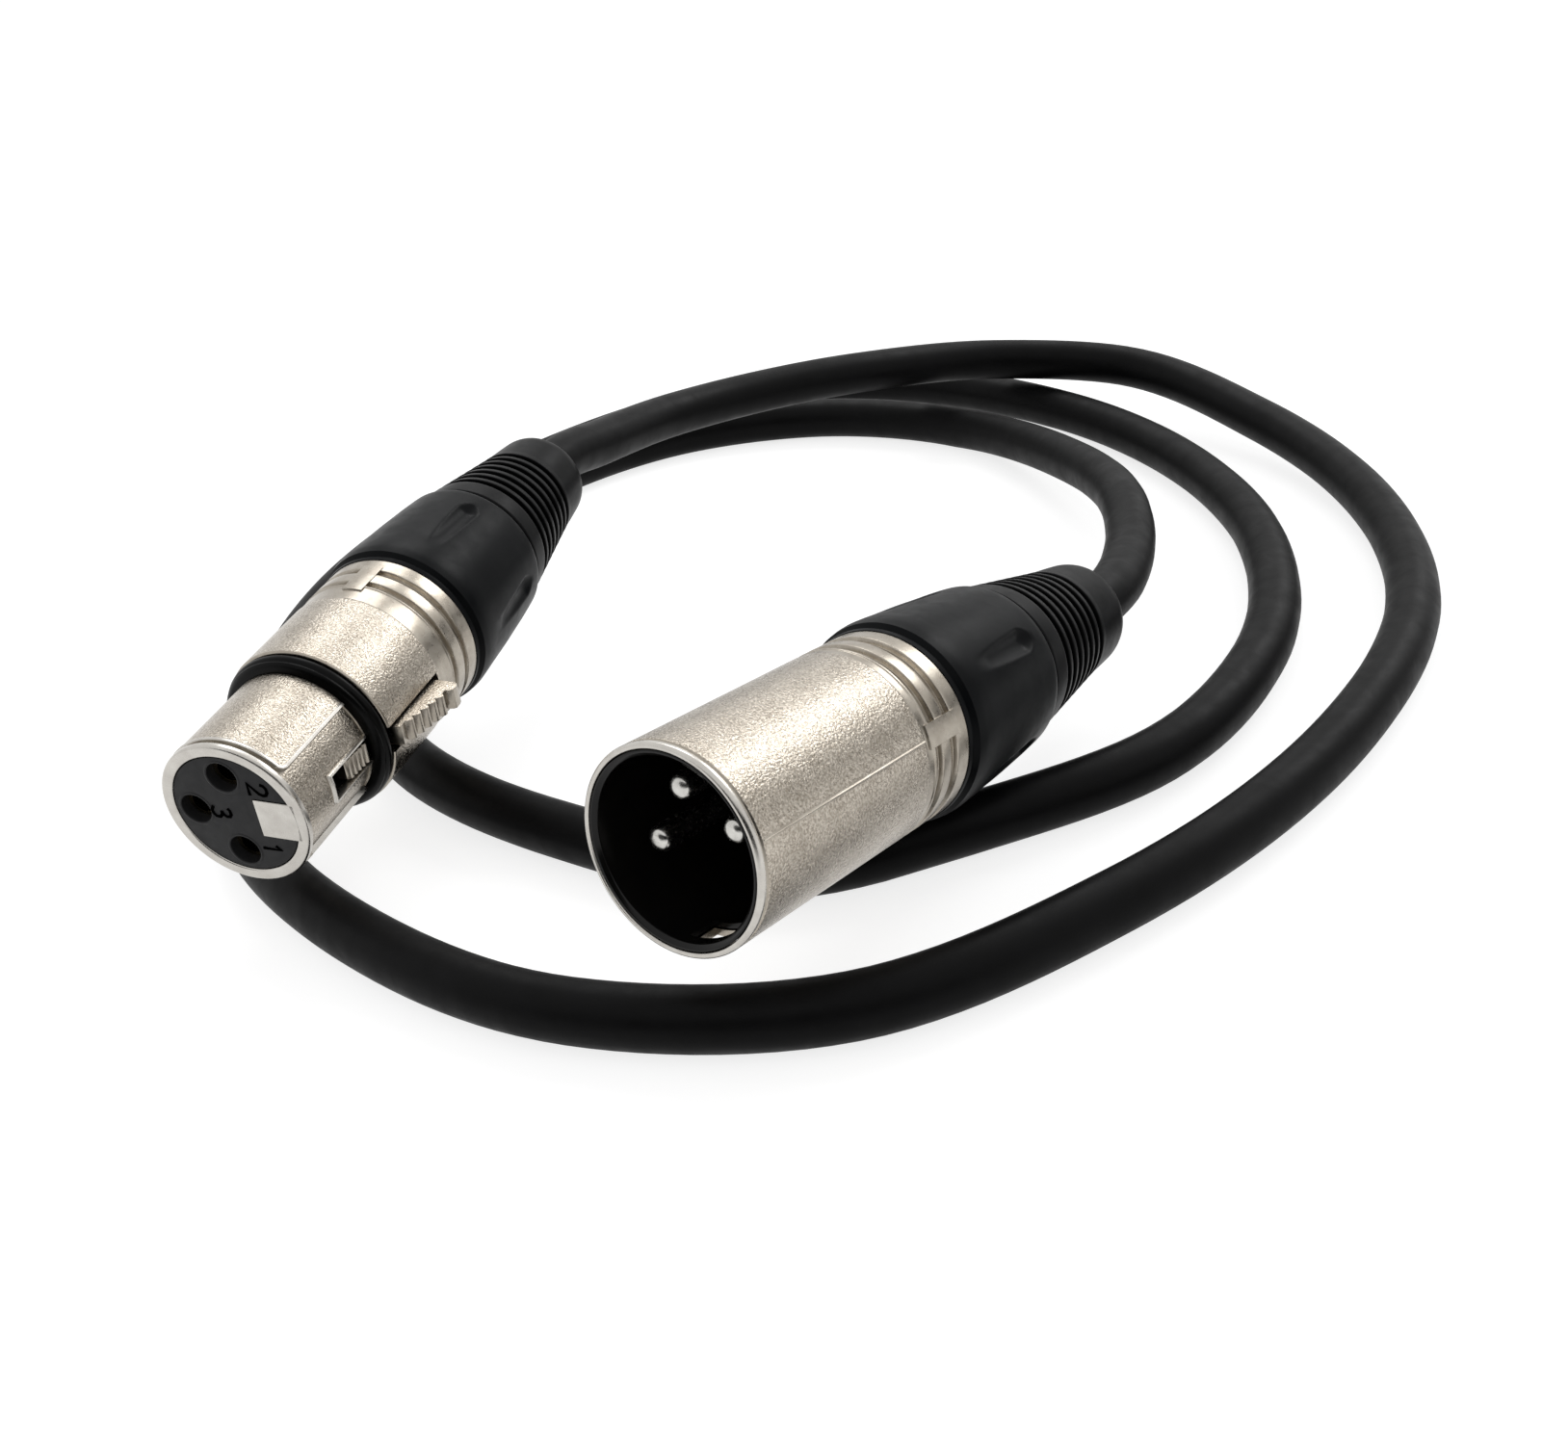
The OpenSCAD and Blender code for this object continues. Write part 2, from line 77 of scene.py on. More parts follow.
def add_node(tree, kind, **settings):
    node = tree.nodes.new(kind)
    for name, value in settings.items():
        if name in node.inputs:
            node.inputs[name].default_value = value
        else:
            setattr(node, name, value)
    return node


def noise(tree, coords, size_mm, detail, rough, distortion=0.0):
    """Noise whose features are about size_mm across."""
    node = add_node(tree, "ShaderNodeTexNoise", Scale=1 / (size_mm * MM), Detail=detail,
                    Roughness=rough, Distortion=distortion)
    tree.links.new(coords, node.inputs["Vector"])
    return node.outputs["Fac"]


def spread(tree, value, low, high, start=0.3, end=0.7):
    """value between start and end becomes low to high."""
    node = tree.nodes.new("ShaderNodeMapRange")
    for k, number in enumerate((start, end, low, high)):
        node.inputs[k + 1].default_value = number
    tree.links.new(value, node.inputs[0])
    return node.outputs[0]


SPECKLE_SHARE = 0.72


def finish_material(name, dark, light, roughness, grain, metallic=0.0, specular=0.5,
                    mottle_mm=4.0, speckle_mm=None, stretch=None):
    """A procedural finish. dark and light are the two colours that a slow mottle, or a mottle
    and a fine speckle, move between, roughness its two limits, and grain lists bumps as
    (feature size, strength, height), the sizes in mm."""
    material = bpy.data.materials.new(name)
    material.use_nodes = True
    tree = material.node_tree
    shader = tree.nodes["Principled BSDF"]
    shader.inputs["Metallic"].default_value = metallic
    shader.inputs["Specular IOR Level"].default_value = specular
    coords = tree.nodes.new("ShaderNodeTexCoord").outputs["Object"]
    if stretch:
        mapping = add_node(tree, "ShaderNodeMapping", Scale=stretch)
        tree.links.new(coords, mapping.inputs["Vector"])
        coords = mapping.outputs["Vector"]
    mottle = spread(tree, noise(tree, coords, mottle_mm, 4.0, 0.6), 0, 1)
    if speckle_mm:
        speckle = spread(tree, noise(tree, coords, speckle_mm, 1.0, 0.5), 0, 1, 0.36, 0.64)
        blend = add_node(tree, "ShaderNodeMix", data_type="FLOAT")
        blend.inputs[0].default_value = SPECKLE_SHARE
        tree.links.new(mottle, blend.inputs[2])
        tree.links.new(speckle, blend.inputs[3])
        mottle = blend.outputs[0]
    mix = add_node(tree, "ShaderNodeMix", data_type="RGBA")
    for socket in mix.inputs:
        if socket.type == "RGBA":
            socket.default_value = (*(dark if socket.name == "A" else light), 1)
    tree.links.new(mottle, mix.inputs[0])
    tree.links.new([s for s in mix.outputs if s.type == "RGBA"][0], shader.inputs["Base Color"])
    smudge = noise(tree, coords, mottle_mm * 0.6, 3.0, 0.6, 0.4)
    tree.links.new(spread(tree, smudge, *roughness), shader.inputs["Roughness"])
    normal = None
    for size, strength, height in grain:
        bump = add_node(tree, "ShaderNodeBump", Strength=strength, Distance=height * MM)
        tree.links.new(noise(tree, coords, size, 2.0, 0.5), bump.inputs["Height"])
        if normal:
            tree.links.new(normal, bump.inputs["Normal"])
        normal = bump.outputs["Normal"]
    tree.links.new(normal, shader.inputs["Normal"])
    return material


METALS = {
    "shell_sand": dict(
        dark=(0.27, 0.235, 0.19), light=(0.56, 0.51, 0.44), roughness=(0.24, 0.3), mottle_mm=2.5,
        grain=((0.22, 1.0, 0.075), (0.9, 0.15, 0.02)), speckle_mm=0.2),
    "shell_smooth": dict(
        dark=(0.31, 0.275, 0.23), light=(0.42, 0.385, 0.33), roughness=(0.25, 0.33),
        mottle_mm=1.4, grain=((0.3, 0.35, 0.012),)),
    # lighter metal for the mating faces' rims and the key tab's front, also laid as a painted
    # highlight on the nose panel's edge line and the hatch frame
    "face_metal_and_highlight": dict(
        dark=(0.48, 0.455, 0.42), light=(0.58, 0.56, 0.52), roughness=(0.24, 0.32),
        mottle_mm=2.0, grain=((0.2, 0.25, 0.012),)),
    "pin_metal": dict(
        dark=(0.5, 0.49, 0.46), light=(0.64, 0.63, 0.6), roughness=(0.2, 0.3), mottle_mm=0.8,
        grain=((0.3, 0.4, 0.02),)),
    # painted shade: the contacts are darkened to stand in for the shade deep inside the contact
    # holes
    "contact_metal": dict(
        dark=(0.1, 0.08, 0.05), light=(0.16, 0.13, 0.08), roughness=(0.25, 0.35), mottle_mm=1.0,
        grain=((0.3, 0.2, 0.01),)),
    "spring_steel": dict(
        dark=(0.4, 0.4, 0.4), light=(0.5, 0.5, 0.49), roughness=(0.22, 0.32), mottle_mm=1.0,
        grain=((0.15, 0.2, 0.006),), stretch=(1, 1, 6)),
}
PLASTICS = {
    "insert_black": dict(
        dark=(0.016, 0.016, 0.017), light=(0.021, 0.021, 0.022), roughness=(0.42, 0.55),
        specular=0.2, mottle_mm=1.8, grain=((0.12, 0.25, 0.01),)),
    "liner_black": dict(
        dark=(0.003, 0.003, 0.003), light=(0.005, 0.0045, 0.004), roughness=(0.16, 0.24),
        specular=0.2, mottle_mm=2.5, grain=((0.4, 0.15, 0.01),)),
    "numeral_black": dict(
        dark=(0.001, 0.001, 0.001), light=(0.002, 0.002, 0.002), roughness=(0.5, 0.6),
        specular=0.0, mottle_mm=1.0, grain=((0.2, 0.1, 0.005),)),
    "nut_black": dict(
        dark=(0.0016, 0.002, 0.0025), light=(0.003, 0.0036, 0.0043), roughness=(0.32, 0.42),
        specular=0.065, mottle_mm=3.0, grain=((0.14, 0.3, 0.012), (1.2, 0.1, 0.02))),
    "relief_rubber": dict(
        dark=(0.0016, 0.0017, 0.002), light=(0.003, 0.0031, 0.0034), roughness=(0.34, 0.44),
        specular=0.075, mottle_mm=2.5, grain=((0.2, 0.3, 0.012),)),
    "ring_black": dict(
        dark=(0.0012, 0.0012, 0.0012), light=(0.002, 0.002, 0.002), roughness=(0.26, 0.34),
        specular=0.09, mottle_mm=2.0, grain=((0.3, 0.15, 0.01),)),
    "jacket": dict(
        dark=(0.0022, 0.0022, 0.0023), light=(0.004, 0.004, 0.0043), roughness=(0.42, 0.54),
        specular=0.085, mottle_mm=5.0, grain=((0.18, 0.25, 0.015), (2.5, 0.12, 0.05))),
    "chuck_plastic": dict(
        dark=(0.62, 0.62, 0.58), light=(0.72, 0.72, 0.68), roughness=(0.4, 0.5), specular=0.4,
        grain=((0.2, 0.2, 0.01),)),
}
WIRES = {
    "wire_red": ((0.42, 0.02, 0.015), (0.52, 0.03, 0.02)),
    "wire_white": ((0.68, 0.68, 0.65), (0.78, 0.78, 0.75)),
    "wire_blue": ((0.02, 0.07, 0.26), (0.03, 0.1, 0.33)),
}
MATERIALS = {name: finish_material(name, metallic=1.0, **look) for name, look in METALS.items()}
MATERIALS |= {name: finish_material(name, **look) for name, look in PLASTICS.items()}
MATERIALS |= {name: finish_material(name, dark, light, (0.35, 0.45), ((0.2, 0.15, 0.008),),
                                    specular=0.4, mottle_mm=1.0)
              for name, (dark, light) in WIRES.items()}

# ---- building in a connector's own frame ----


def rounded(points, steps=4):
    """Corners given as (radius, distance, rounding) become small arcs."""
    out = []
    for k, corner in enumerate(points):
        if len(corner) == 2:
            out.append(tuple(corner))
            continue
        before = Vector(points[k - 1][:2])
        here = Vector(corner[:2])
        after = Vector(points[(k + 1) % len(points)][:2])
        cut = min(corner[2], 0.45 * (before - here).length, 0.45 * (after - here).length)
        start = here + (before - here).normalized() * cut
        end = here + (after - here).normalized() * cut
        for step in range(steps + 1):
            t = step / steps
            out.append(tuple(start * (1 - t) ** 2 + here * (2 * t * (1 - t)) + end * t * t))
    return out


def angle_list(count, extra=()):
    """Even steps of a turn in degrees, with the extra angles in place of the steps near them."""
    step = 360 / count
    extra = sorted(a % 360 for a in extra)
    even = [k * step for k in range(count)]
    kept = [a for a in even if all(min(abs(a - e), 360 - abs(a - e)) > 0.4 * step for e in extra)]
    return sorted(kept + extra)


def shown(name, data):
    """A new object of the scene with that mesh, curve, lamp or camera."""
    obj = bpy.data.objects.new(name, data)
    bpy.context.scene.collection.objects.link(obj)
    return obj


def made(name, bm, place):
    """The bmesh, drawn in mm in the connector's frame, as an object in the row frame."""
    bmesh.ops.remove_doubles(bm, verts=bm.verts, dist=1e-4)
    bmesh.ops.recalc_face_normals(bm, faces=bm.faces)
    bmesh.ops.scale(bm, vec=(MM, MM, MM), verts=bm.verts)
    mesh = bpy.data.meshes.new(name)
    bm.to_mesh(mesh)
    bm.free()
    obj = shown(name, mesh)
    obj.matrix_world = place
    return obj


def turned(name, section, place, angles=None, shape=None, centre=(0, 0), closed=True):
    """A surface turned through the section, a line of (radius, distance) in mm, round an axis
    at centre. shape(angle, distance, radius), if given, is the radius there. An open section
    isn't joined from its last point to its first."""
    angles = angles or angle_list(160)
    bm = bmesh.new()
    rows = []
    for angle in angles:
        c, s = math.cos(math.radians(angle)), math.sin(math.radians(angle))
        row = []
        for r, l in section:
            r = shape(angle, l, r) if shape else r
            row.append(bm.verts.new((centre[0] + r * c, centre[1] + r * s, l)))
        rows.append(row)
    count = len(section)
    for k in range(len(rows)):
        a, b = rows[k], rows[(k + 1) % len(rows)]
        for j in range(count if closed else count - 1):
            bm.faces.new((a[j], a[(j + 1) % count], b[(j + 1) % count], b[j]))
    return made(name, bm, place)


def box(name, low, high, place):
    """A block from corner to corner, to cut with."""
    bm = bmesh.new()
    bmesh.ops.create_cube(bm, size=1)
    for v in bm.verts:
        for axis in range(3):
            v.co[axis] = low[axis] if v.co[axis] < 0 else high[axis]
    return made(name, bm, place)


def slab(name, corners, move, bevel, place):
    """A plate with rounded edges: the face through the corners, grown by move."""
    bm = bmesh.new()
    face = bm.faces.new([bm.verts.new(corner) for corner in corners])
    grown = bmesh.ops.extrude_face_region(bm, geom=[face])["geom"]
    bmesh.ops.translate(bm, vec=move, verts=[g for g in grown if isinstance(g, bmesh.types.BMVert)])
    caps = [f for f in bm.faces if len(f.verts) == len(corners)]
    edges = list({e for f in caps for e in f.edges})
    bmesh.ops.bevel(bm, geom=edges, offset=bevel, segments=3, affect="EDGES", profile=0.5,
                    clamp_overlap=True)
    return made(name, bm, place)


def tubes(name, radius, resolution, lines):
    """A curve with a round tube along each line of points, in metres."""
    curve = bpy.data.curves.new(name, "CURVE")
    curve.dimensions = "3D"
    curve.bevel_depth = radius
    curve.bevel_resolution = resolution
    curve.use_fill_caps = True
    for line in lines:
        spline = curve.splines.new("POLY")
        spline.points.add(len(line) - 1)
        spline.use_smooth = True
        for point, place in zip(spline.points, line):
            point.co = (*place, 1)
    return shown(name, curve)


def joined(name, *objs):
    """Several pieces as one object with all their materials."""
    first = objs[0]
    with bpy.context.temp_override(active_object=first, object=first, selected_objects=objs,
                                   selected_editable_objects=objs):
        bpy.ops.object.join()
    first.name = first.data.name = name
    return first


def cut(obj, *tools):
    """Takes the tools out of obj and clears them away."""
    for tool in tools:
        step = obj.modifiers.new("cut", "BOOLEAN")
        step.object = tool
        step.operation = "DIFFERENCE"
        step.solver = "EXACT"
    bpy.context.view_layer.update()
    mesh = bpy.data.meshes.new_from_object(
        obj.evaluated_get(bpy.context.evaluated_depsgraph_get()))
    obj.modifiers.clear()
    obj.data = mesh
    mesh.name = obj.name
    for tool in tools:
        bpy.data.objects.remove(tool)


def dress(obj, body, slot, nodes, *materials, pick=None, crease=32):
    """Gives obj its finish, its smooth faces and its body, and hides the CAD nodes it stands for.
    pick(x, y, z, normal), in mm, is the number of the material of a face there. slot is not used."""
    for name in materials:
        obj.data.materials.append(MATERIALS[name])
    for face in obj.data.polygons:
        face.use_smooth = True
        if pick:
            face.material_index = pick(*(face.center / MM), face.normal)
    obj.data.set_sharp_from_angle(angle=math.radians(crease))
    if nodes:
        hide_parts(*nodes)
    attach(obj, body)


def on_circle(angle):
    """Where the contact at that angle from the key has its axis."""
    a = math.radians(angle)
    return CONTACT_CIRCLE * math.cos(a), CONTACT_CIRCLE * math.sin(a)


def off_angle(angle, centre):
    """How far angle is from centre, in degrees either way."""
    return abs((angle - centre + 180) % 360 - 180)


# ---- the clamp nut and the strain relief, the same on both connectors ----

NUT_R = 9.95
NUT_LEN = 17.4
# distance from the nut's front and how far the surface lies inside NUT_R there
NUT_OUTLINE = ((0, 0.75), (0.12, 0.52), (0.5, 0.45), (0.62, 0.58), (0.85, 0.58), (1.3, 0.13),
               (2, 0.03), (2.6, 0), (4, 0.07), (5.4, 0.17), (6.2, 0.21), (7, 0.26), (8, 0.31),
               (9, 0.37), (10, 0.44), (11, 0.52), (12, 0.6), (13, 0.68), (13.4, 0.712),
               (13.7, 0.735), (14, 0.76), (14.2, 0.78), (14.4, 0.8), (14.55, 0.815),
               (14.7, 0.83), (14.85, 0.845), (15, 0.86), (15.6, 0.92), (16.4, 1), (17, 1.08),
               (17.22, 1.15), (17.34, 1.3), (17.38, 1.75))
# the grip dents: how many, where along the nut, and the leaning cylinder that cuts them
DENTS = 5
DENT_L = (5.8, 15)
DENT_R = 1.9
DENT_FLOOR = 8.45
DENT_LEAN = math.tan(math.radians(7))
DENT_REAR = 1.5
DENT_RISE = 0.42
DENT_BLEND = 0.03
INNER_R = 8.8  # the inside of the nut, nearer the axis than this, has no dents


def nut(name, place, front, turn, body, node):
    """The clamp nut with its front at that distance and a grip dent at the angle turn."""
    pitch = 360 / DENTS

    def shape(angle, l, r):
        l -= front
        if r < INNER_R or not DENT_L[0] < l < DENT_L[1]:
            return r
        off = math.radians((angle - turn + pitch / 2) % pitch - pitch / 2)
        # a dent is part of a cylinder that leans away from the nut's axis, more so at the rear
        far = DENT_FLOOR + DENT_R + (DENT_L[1] - l) * DENT_LEAN
        far += max(0, l - DENT_L[1] + DENT_REAR) * DENT_RISE
        across = far * math.sin(off)
        if abs(across) >= DENT_R:
            return r
        floor = far * math.cos(off) - math.sqrt(DENT_R ** 2 - across ** 2)
        return r - DENT_BLEND * math.log(1 + math.exp(min(40, (r - floor) / DENT_BLEND)))

    outer = [(NUT_R - drop, front + l) for l, drop in NUT_OUTLINE]
    section = [(7.6, front - 0.4), (8.55, front - 0.4), (8.55, front + 0.1)] + outer + [
        (7.6, front + NUT_LEN), (6.6, front + NUT_LEN - 0.1), (6.6, front + 16.2),
        (7.6, front + 13.4)]
    piece = turned(name, section, place, angle_list(360), shape)
    dress(piece, body, "nut_black", [node], "nut_black", crease=34)


RELIEF_GROOVES = 7
RELIEF_L = (20.9, 32)
RELIEF_R = (7.95, 6.25)
RELIEF_RIB = 0.85
RELIEF_DEPTH = 1.05


def relief(name, place, front, body, node):
    """The strain relief of the nut whose front is at that distance."""
    pitch = (RELIEF_L[1] - RELIEF_L[0]) / RELIEF_GROOVES
    fall = (RELIEF_R[0] - RELIEF_R[1]) / RELIEF_GROOVES
    width = pitch - RELIEF_RIB
    corners = [(3.35, front + 15.6), (6.35, front + 15.6), (6.35, front + 17.52),
               (7, front + 17.52), (7, front + 17.95), (8.05, front + 17.95, 0.1),
               (8.32, front + 18.25, 0.22), (8.05, front + 20.6, 0.3)]
    for k in range(RELIEF_GROOVES):
        l = front + RELIEF_L[0] + k * pitch
        r = RELIEF_R[0] - fall * k
        floor = r - RELIEF_DEPTH
        corners += [(r, l, 0.16), (floor, l + 0.1, 0.1), (floor, l + width - 0.1, 0.1),
                    (r - 0.04, l + width, 0.2)]
    corners += [(6.28, front + 32.05, 0.2), (6.05, front + 34.4, 0.4), (5.8, front + 36.6, 0.5),
                (5.5, front + 37.5, 0.35), (4.9, front + 37.8, 0.3), (4, front + 37.8, 0.25),
                (3.35, front + 37.3, 0.2)]
    piece = turned(name, rounded(corners), place)
    dress(piece, body, "relief_rubber", [node], "relief_rubber", crease=50)


# ---- the pads that cross the grooves at the back of both shells ----

PAD_HALF = 6.75
PAD_STEP = 0.35
PAD_R = SHELL_R + 0.08
MALE_PADS = (24.39, 29.01)
FEMALE_PADS = (26.39, 31.11)


def pad_angles():
    """The angles at the edges of the pads on both sides of the key."""
    offsets = (-PAD_HALF - PAD_STEP, -PAD_HALF, PAD_HALF, PAD_HALF + PAD_STEP)
    return [side + offset for side in (-90, 90) for offset in offsets]


def on_pad(angle):
    return min(off_angle(angle, side) for side in (-90, 90)) < PAD_HALF + SLACK


# ---- male connector ----

WINDOW = ((7, -2.5, 1.6), (11, 2.5, 4.5))
SEAM_ANGLE = -89
SEAM_HALF = 1.1
SEAM_HEIGHT = 0.12
SEAM_L = (1.1, 23.82)


def male_shell():
    extra = [SEAM_ANGLE + k for k in (-1.2, -0.5, 0, 0.5, 1.2)] + pad_angles()

    def shape(angle, l, r):
        if r < GROOVE_R - SLACK:
            return r
        if MALE_PADS[0] < l < MALE_PADS[1] and on_pad(angle):
            return PAD_R
        if SEAM_L[0] < l < SEAM_L[1]:
            return r + SEAM_HEIGHT * max(0, 1 - off_angle(angle, SEAM_ANGLE) / SEAM_HALF)
        return r

    section = rounded([
        (8.75, 1.15), (8.75, 0.3), (8.82, 0.02, 0.12), (9.13, 0, 0.2),
        (SHELL_R, 0.25, 0.2), (SHELL_R, 0.6, 0.06), (9.17, 0.7, 0.05), (9.17, 0.86, 0.05),
        (SHELL_R, 1, 0.06), (SHELL_R, 1.15), (SHELL_R, 12), (SHELL_R, 23.8, 0.08),
        (BAND_R, 23.95, 0.06), (BAND_R, 24.38), (BAND_R, 24.44), (BAND_R, 24.75, 0.05),
        (SHELL_R, 24.88, 0.06), (SHELL_R, 25.1, 0.06), (GROOVE_R, 25.2, 0.06),
        (GROOVE_R, 25.95, 0.06), (SHELL_R, 26.08, 0.1), (SHELL_R, 27.38, 0.08),
        (GROOVE_R, 27.5, 0.06), (GROOVE_R, 28.35, 0.06), (SHELL_R, 28.48, 0.1),
        (SHELL_R, 29), (SHELL_R, 29.06), (SHELL_R, MALE_FRONT + 0.2), (8.65, MALE_FRONT + 0.2)])
    piece = turned("male_shell_barrel", section, MALE, angle_list(200, extra), shape)
    cut(piece, box("window", *WINDOW, MALE))

    def pick(x, y, z, n):
        if z < 0.65:
            return 2
        on_seam = off_angle(math.degrees(math.atan2(y, x)), SEAM_ANGLE) < 0.9
        return int(z < 23.85 and math.hypot(x, y) > SHELL_R - 0.05 and not on_seam)

    dress(piece, "cord", "shell_metal", ["male_shell"], "shell_smooth", "shell_sand",
          "face_metal_and_highlight", pick=pick)


def male_insert():
    section = rounded([
        (8.1, 0.42, 0.15), (8.1, 15.55, 0.3), (6.2, 15.6), (0.001, 15.6), (0.001, 25.9),
        (6.6, 25.9, 0.2), (6.6, 23.5), (8.55, 23.5), (8.55, 1.2), (8.7, 1.1),
        (8.7, 0.14, 0.1), (8.5, 0.12, 0.1)])
    piece = turned("male_insert_liner", section, MALE, angle_list(128))
    cut(piece, box("window", *WINDOW, MALE))
    ring = rounded([(1.25, 15.7), (1.25, 15.1, 0.1), (1.9, 15.1, 0.15), (2.1, 15.7)])
    collars = [turned("collar", ring, MALE, angle_list(40), centre=on_circle(angle))
               for angle in CONTACT_ANGLES]
    piece = joined("male_insert_liner", piece, *collars)
    dress(piece, "cord", "insert_black", ["male_insert"], "liner_black")


def male_pin(number, angle):
    section = rounded([
        (0.001, 3), (0.5, 3.02, 0.3), (1.02, 3.28, 0.4), (1.18, 3.8, 0.4), (1.18, 15.58),
        (1.58, 15.62), (1.58, 27), (0.8, 27), (0.8, 24.5), (0.001, 24.5)])
    piece = turned(f"male_pin_{number}_rod", section, MALE, angle_list(40),
                   centre=on_circle(angle))
    dress(piece, "cord", "pin_metal", [f"male_pin_{number}"], "pin_metal", crease=50)


# ---- female connector ----

NOSE_R = 7.95
NOSE_BORE_R = 6.7
NOSE_LEN = 12.5
PANEL_HALF = 39.5
PANEL_FRONT = 1.12
PANEL_CORNER = 0.9
PANEL_DEPTH = 0.45
PANEL_LINE_HEIGHT = 0.08
HATCH_FRAME_HEIGHT = 0.34
HATCH_HALF = 1.4
HATCH_FRONT = 5.8
SLOT_HALF = 1.5
SLOT_REAR = 24.3


def step_up(value, half):
    """0 below -half, 1 above half and smooth between."""
    t = min(1, max(0, (value + half) / (2 * half)))
    return t * t * (3 - 2 * t)


def beside_hatch(angle, l):
    """How far a point of the nose lies outside the edge of the hatch."""
    return max(math.radians(off_angle(angle, 0)) * NOSE_R - HATCH_HALF, HATCH_FRONT - l)


def beside_panel(angle, l):
    """How far a point of the nose lies outside the edge of the key side's panel, an edge with
    rounded front corners."""
    past_edge = math.radians(off_angle(angle, 0) - PANEL_HALF) * NOSE_R
    past_front = l - PANEL_FRONT
    if past_edge < PANEL_CORNER and past_front < PANEL_CORNER:
        return PANEL_CORNER - math.hypot(PANEL_CORNER - past_edge, PANEL_CORNER - past_front)
    return min(past_edge, past_front)


def nose_shape(angle, l, r):
    """The nose stands lower on the key side, inside the panel's edge, which has a thin raised
    line along it, and a thin frame goes round the latch hatch."""
    if r < 7.5 or l < 1.0 or l > NOSE_LEN - SLACK:
        return r
    beyond = beside_panel(angle, l)
    low = PANEL_DEPTH * (1 - step_up(beyond, 0.06))
    low -= PANEL_LINE_HEIGHT * (1 - step_up(abs(beyond - 0.2) - 0.2, 0.05))
    low -= HATCH_FRAME_HEIGHT * (1 - step_up(abs(beside_hatch(angle, l) - 0.17) - 0.15, 0.05))
    return r - low


def female_shell():
    extra = pad_angles()
    hatch_edge = math.degrees(HATCH_HALF / NOSE_R)
    for a in [hatch_edge + 0.6 * k for k in range(-2, 7)] + [
            PANEL_HALF + k for k in (-1.5, -1, -0.5, 0, 0.5, 1, 1.6, 2.3, 3.1, 4, 5, 6, 7)]:
        extra += [-a, a]

    def shape(angle, l, r):
        if l < 13:
            return nose_shape(angle, l, r)
        if r > GROOVE_R - SLACK and FEMALE_PADS[0] < l < FEMALE_PADS[1] and on_pad(angle):
            return PAD_R
        return r

    nose = [(NOSE_R, 1.06 + k * 0.09) for k in range(12)] + [
        (NOSE_R, l) for l in (2.4, 3, 4, 5, 5.3, 5.4, 5.5, 5.6, 5.7, 5.8, 5.9, 6.2, 8, 10, 12, 12.3,
                              12.44)]
    section = rounded([(NOSE_BORE_R, 0.9), (NOSE_BORE_R, 0.12, 0.08), (NOSE_BORE_R + 0.12, 0, 0.08),
                       (7.75, 0, 0.22), (NOSE_R, 0.2, 0.18), (NOSE_R, 0.72, 0.08),
                       (7.62, 0.8, 0.05), (7.62, 0.97, 0.05)])
    section += nose
    section += rounded([
        (7.65, NOSE_LEN), (7.65, 14.2), (9, 14.2, 0.1), (9.25, 14.22, 0.12),
        (SHELL_R, 14.45, 0.12), (SHELL_R, 20), (SHELL_R, 24.6, 0.08), (BAND_R, 24.75, 0.08),
        (BAND_R, 26.38), (BAND_R, 26.44), (BAND_R, 27.1, 0.05), (SHELL_R, 27.2, 0.05),
        (SHELL_R, 27.35, 0.06), (GROOVE_R, 27.45, 0.06), (GROOVE_R, 28.05, 0.06),
        (SHELL_R, 28.18, 0.1), (SHELL_R, 29.7, 0.1), (GROOVE_R, 29.82, 0.06),
        (GROOVE_R, 30.45, 0.06), (SHELL_R, 30.58, 0.1), (SHELL_R, 31.1), (SHELL_R, 31.16),
        (SHELL_R, FEMALE_FRONT + 0.2), (8.65, FEMALE_FRONT + 0.2), (8.65, 15.6),
        (NOSE_BORE_R, 15.6)])
    piece = turned("female_shell_body", section, FEMALE, angle_list(180, extra), shape)
    cut(piece,
        box("hatch", (4.6, -HATCH_HALF, HATCH_FRONT), (9, HATCH_HALF, NOSE_LEN), FEMALE),
        box("hatch", (4.6, -HATCH_HALF, 12), (7.66, HATCH_HALF, 15.7), FEMALE),
        box("slot", (4.4, -SLOT_HALF, 14.15), (12, SLOT_HALF, SLOT_REAR), FEMALE))

    def pick(x, y, z, n):
        r = math.hypot(x, y)
        angle = math.degrees(math.atan2(y, x))
        # the rim's front takes the lighter metal; on the hatch frame and the panel's edge line it
        # is a painted highlight
        if z < 0.75 or (z < 12.4 and (beside_hatch(angle, z) < 0.36
                                      or abs(beside_panel(angle, z) - 0.15) < 0.24)):
            return 2
        return int((1.1 < z < 12.3 and r > 7.4) or (14.45 < z < 24.65 and r > SHELL_R - 0.05))

    dress(piece, "cord", "shell_metal", ["female_shell"], "shell_smooth", "shell_sand",
          "face_metal_and_highlight", pick=pick)


KEY_X = (2.6, 7)
KEY_HALF = 2.15
KEY_LEN = 5


def key_tab():
    """The flat tab of metal on the key side of the mating face."""
    (x0, x1), y = KEY_X, KEY_HALF
    corners = [(x0, -y, 0), (x1, -y, 0), (x1, y, 0), (x0, y, 0)]
    piece = slab("female_key_tab", corners, (0, 0, KEY_LEN), 0.07, FEMALE)
    dress(piece, "cord", "shell_metal", [], "face_metal_and_highlight", "shell_smooth", crease=30,
          pick=lambda x, y, z, n: int(z > 0.1))


